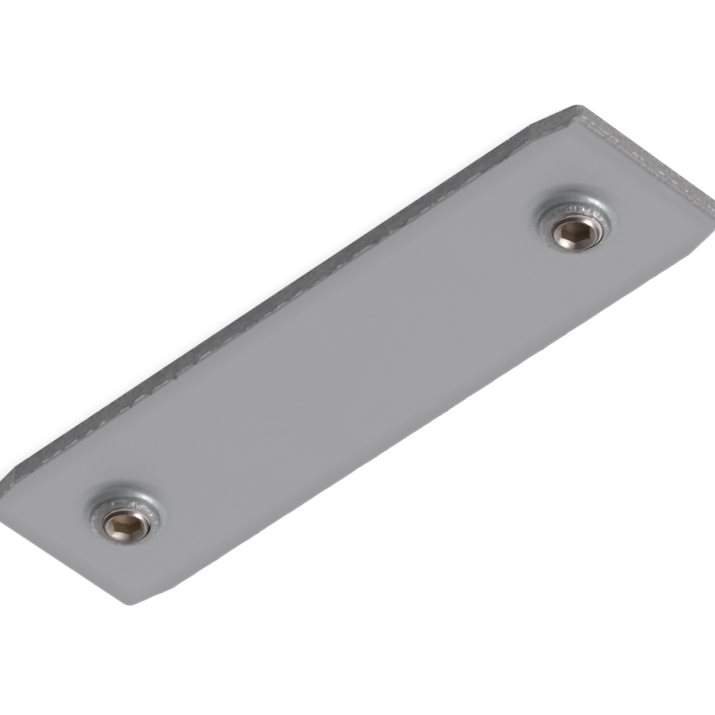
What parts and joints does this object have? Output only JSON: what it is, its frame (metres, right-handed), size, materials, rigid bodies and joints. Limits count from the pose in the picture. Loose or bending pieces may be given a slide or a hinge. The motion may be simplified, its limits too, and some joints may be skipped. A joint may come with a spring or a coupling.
{
  "type": "track reinforcement plate",
  "caption": "Flat plate with tapered corners and a threaded collar near each end, each holding a set screw, to stiffen the joint between two lengths of track.",
  "frame": {"origin": "middle of the flat back face", "axes": "+X along the plate, +Y across it, +Z out of the front face, the way the collars stand"},
  "size_m": [0.075, 0.02, 0.0037],
  "materials": {
    "zinc_plated_steel": "zinc plated, satin grey, with rough sheared edges",
    "screw_steel": "bright plated steel with a warm tint"
  },
  "bodies": {
    "plate": {"reinforcement_plate": "zinc_plated_steel"},
    "left_screw": {"left_set_screw": "screw_steel"},
    "right_screw": {"right_set_screw": "screw_steel"}
  },
  "joints": [
    {"name": "left_screw_travel", "type": "slide", "parent": "plate", "child": "left_screw", "axis": [0, 0, 1], "range_m": [-0.0016, 0.0008]},
    {"name": "right_screw_travel", "type": "slide", "parent": "plate", "child": "right_screw", "axis": [0, 0, 1], "range_m": [-0.0016, 0.0008]}
  ]
}
